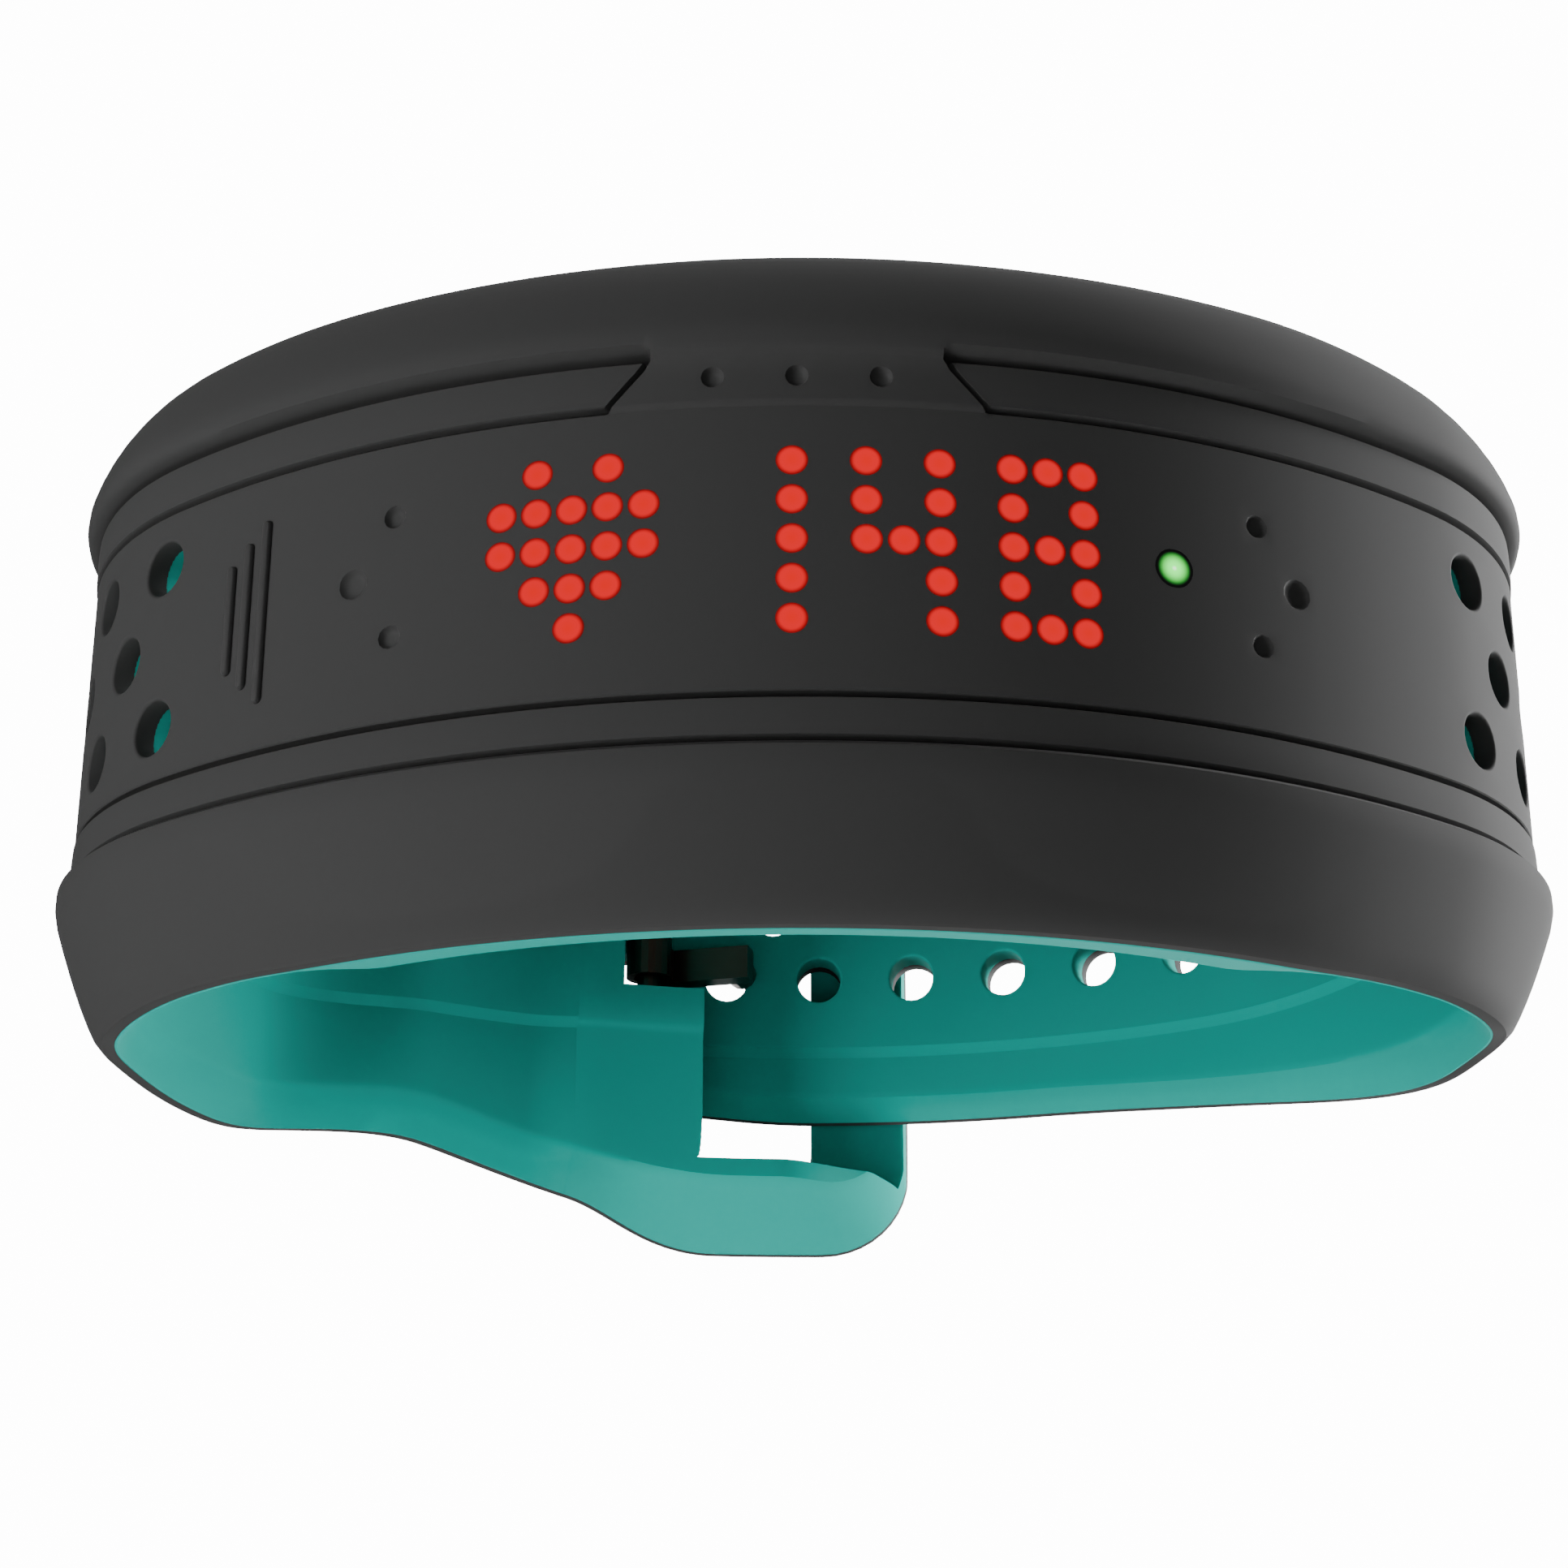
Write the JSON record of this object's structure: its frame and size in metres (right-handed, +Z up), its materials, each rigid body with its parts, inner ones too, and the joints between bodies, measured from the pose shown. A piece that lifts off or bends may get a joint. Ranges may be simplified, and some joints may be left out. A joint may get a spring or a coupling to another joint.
{
  "type": "fitness tracker band",
  "caption": "Heart-rate fitness band: black and teal silicone strap with holes, red dot display, green light, loop and peg clasp",
  "frame": {"origin": "middle of the object's bounding box, on the mid-plane of the band", "axes": "+X to the right as the display is read, -Y out of the display, +Z up along the wrist"},
  "size_m": [0.0656, 0.0518, 0.0342],
  "materials": {
    "black_silicone": "matt moulded silicone",
    "teal_silicone": "matt moulded silicone",
    "dark_metal": "dark bronze coating, satin",
    "smoked_plastic": "smoked, lets the lights through",
    "cover_plastic": "fine matt texture",
    "gasket_rubber": "matt",
    "diffuser_film": "milky film",
    "red_led": "lit red lights on a board",
    "green_led": "lit green light",
    "board_green": "solder mask on glass fibre",
    "chip_black": "moulded epoxy",
    "flex_amber": "polyimide film",
    "cell_foil": "laminated foil pouch",
    "steel": "bright",
    "gold_contact": "gold plated",
    "sensor_glass": "polished dark window"
  },
  "bodies": {
    "front": {"band_front_core": "teal_silicone", "band_front_skin": "black_silicone", "display_shell": "smoked_plastic", "rear_cover": "cover_plastic", "gasket": "gasket_rubber", "diffuser_film": "diffuser_film", "led_board": "red_led", "status_led": "green_led", "left_touch_pad": "gold_contact", "right_touch_pad": "gold_contact", "main_board": "board_green", "processor": "chip_black", "radio_chip": "chip_black", "memory_chip": "chip_black", "accelerometer": "chip_black", "charger_chip": "chip_black", "antenna": "gold_contact", "flex_cable": "flex_amber", "battery": "cell_foil", "motor_can": "steel", "sensor_board": "board_green", "sensor_led_left": "green_led", "sensor_led_right": "green_led", "photodiode": "chip_black", "light_barrier": "gasket_rubber", "sensor_window": "sensor_glass", "charge_contact_1": "gold_contact", "charge_contact_2": "gold_contact", "charge_contact_3": "gold_contact", "charge_contact_4": "gold_contact", "cover_screw_1": "steel", "cover_screw_2": "steel", "cover_screw_3": "steel", "cover_screw_4": "steel"},
    "left_strap": {"left_strap_core": "teal_silicone", "left_strap_skin": "black_silicone", "loop_skin": "black_silicone", "tang_pin": "dark_metal"},
    "right_strap": {"right_strap_core": "teal_silicone", "right_strap_skin": "black_silicone"},
    "tang": {"tang": "dark_metal"},
    "motor_weight": {"motor_weight": "dark_metal"}
  },
  "joints": [
    {"name": "band_open", "type": "hinge", "parent": "front", "child": "left_strap", "pos_m": [-0.02474, -0.01791, 0], "axis": [0, 0, 1], "range_deg": [0, 50]},
    {"name": "right_open", "type": "hinge", "parent": "front", "child": "right_strap", "pos_m": [0.02474, -0.01791, 0], "axis": [0, 0, -1], "range_deg": [0, 50]},
    {"name": "tang_swing", "type": "hinge", "parent": "left_strap", "child": "tang", "pos_m": [-0.00773, 0.01663, 0], "axis": [0, 0, -1], "range_deg": [-21, 80]},
    {"name": "motor_spin", "type": "hinge", "parent": "front", "child": "motor_weight", "pos_m": [0.0142, -0.01636, 0], "axis": [0, 0, 1], "continuous": true}
  ],
  "couplings": [
    {"joint": "right_open", "follows": "band_open", "ratio": 1}
  ]
}
